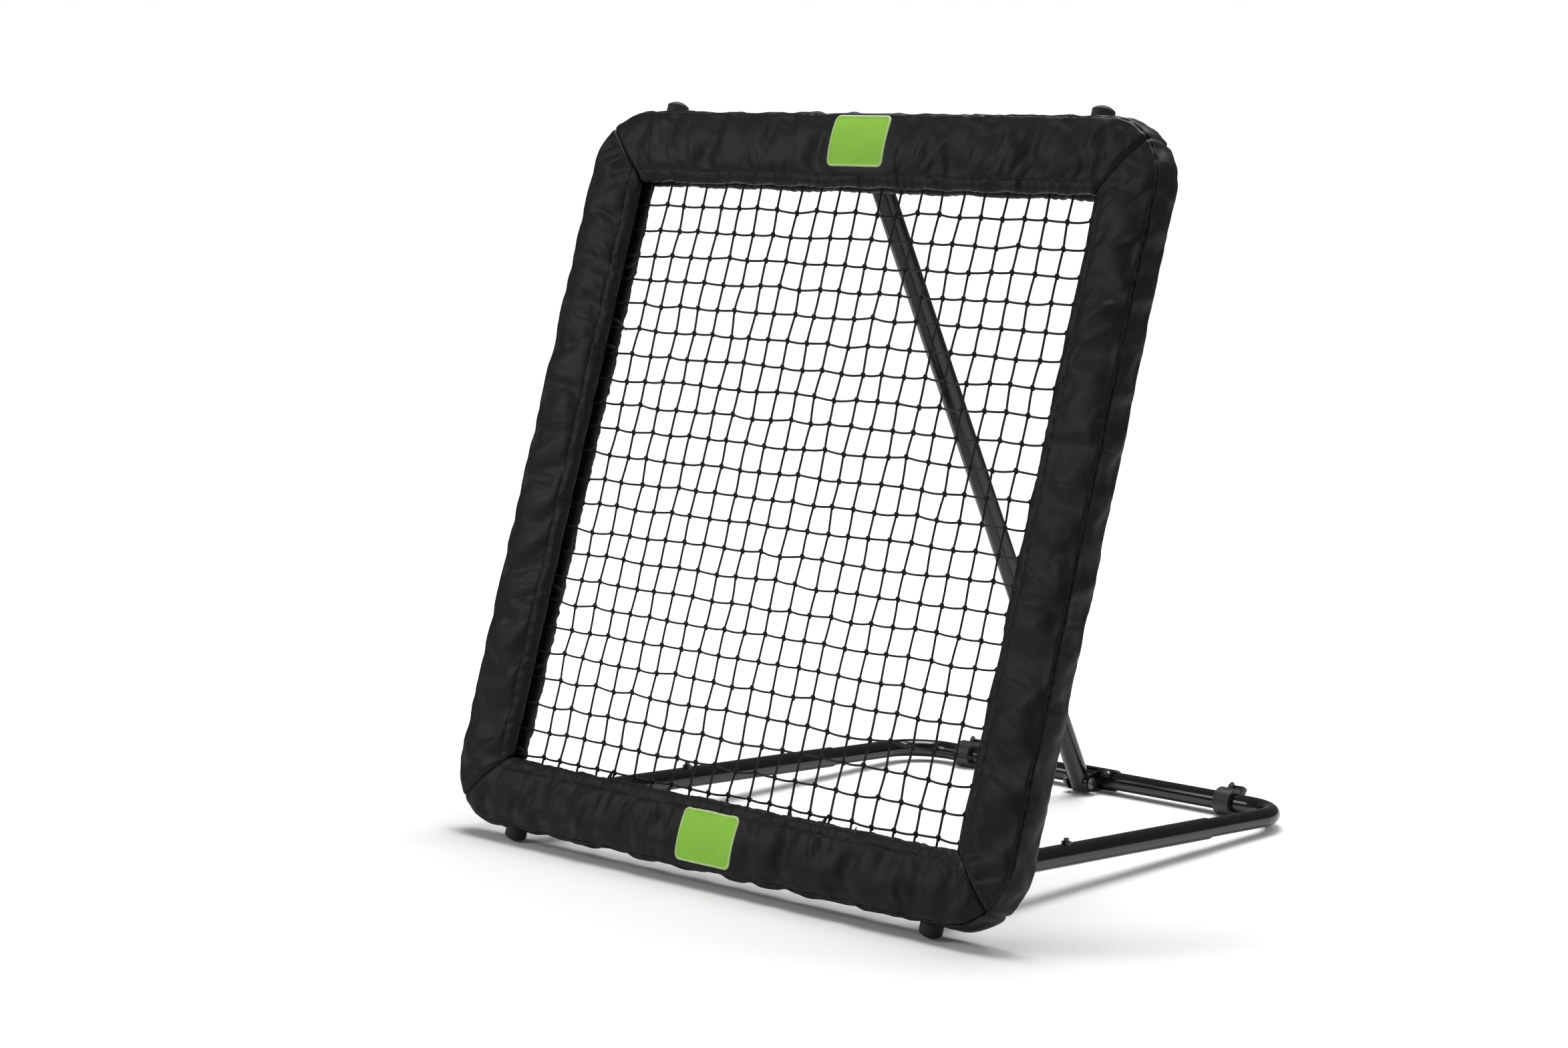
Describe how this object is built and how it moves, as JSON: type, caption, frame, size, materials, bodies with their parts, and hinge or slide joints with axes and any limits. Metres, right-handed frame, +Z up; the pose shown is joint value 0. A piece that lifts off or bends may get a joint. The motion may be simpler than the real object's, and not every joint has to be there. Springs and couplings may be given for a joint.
{
  "type": "pitch back rebounder",
  "caption": "Padded square net frame that leans back on a telescoping ground frame and a hinged strut, and bounces balls back from its knotted net.",
  "frame": {"origin": "on the ground, at the middle of the footprint of the whole rebounder", "axes": "+X across the frame to its right, +Y from the net back to the rear tube, +Z up"},
  "size_m": [0.84, 0.7134, 0.8444],
  "materials": {
    "black_steel": "satin powder coat",
    "zinc_steel": "dark zinc",
    "black_rubber": "matt",
    "black_plastic": "matt",
    "cover_cloth": "coated black cloth",
    "net_cord": "twisted black cord",
    "strap_webbing": "black webbing",
    "green_badge": "satin"
  },
  "bodies": {
    "net_frame": {"lower_frame_tube": "black_steel", "upper_frame_tube": "black_steel", "frame_spigots": "black_steel", "frame_joint_rivets": "zinc_steel", "foot_stubs": "black_steel", "foot_left": "black_rubber", "foot_right": "black_rubber", "top_foot_left": "black_rubber", "top_foot_right": "black_rubber", "pad_top": "cover_cloth", "pad_bottom": "cover_cloth", "pad_left": "cover_cloth", "pad_right": "cover_cloth", "net": "net_cord", "net_border_cord": "net_cord", "net_straps_left": "strap_webbing", "net_straps_right": "strap_webbing", "net_straps_top": "strap_webbing", "net_straps_bottom": "strap_webbing", "sleeve_stop_rings": "black_plastic", "badge_top": "green_badge", "badge_bottom": "green_badge"},
    "arms": {"arm_left": "black_steel", "arm_right": "black_steel", "arm_sleeve_left": "black_plastic", "arm_sleeve_right": "black_plastic", "arm_bolts": "zinc_steel", "arm_nuts": "zinc_steel", "arm_clamp_screws": "zinc_steel"},
    "rear_frame": {"rear_u_tube": "black_steel", "ring_foot_left": "black_plastic", "ring_foot_right": "black_plastic", "ring_foot_screws": "zinc_steel", "strut_clevis": "black_steel", "clevis_rivets": "zinc_steel", "pivot_bolt": "zinc_steel", "pivot_nut": "zinc_steel"},
    "strut": {"strut_tube": "black_steel", "strut_sleeve": "black_plastic", "strut_bolt": "zinc_steel", "strut_nut": "zinc_steel", "strut_foot_plug": "black_plastic"}
  },
  "joints": [
    {"name": "net_tilt", "type": "hinge", "parent": "net_frame", "child": "arms", "pos_m": [0, -0.32653, 0.05224], "axis": [1, 0, 0], "range_deg": [-1.55, 7.5]},
    {"name": "reach_slide", "type": "slide", "parent": "arms", "child": "rear_frame", "axis": [0, 0.9985, -0.0544], "range_m": [-0.03096, 0.14828]},
    {"name": "strut_swing", "type": "hinge", "parent": "net_frame", "child": "strut", "pos_m": [0, -0.08611, 0.79217], "axis": [1, 0, 0], "range_deg": [-2.38, 11.46]}
  ],
  "couplings": [
    {"joint": "reach_slide", "follows": "net_tilt", "m_per_rad": 1.1297},
    {"joint": "strut_swing", "follows": "net_tilt", "ratio": 1.5252}
  ]
}
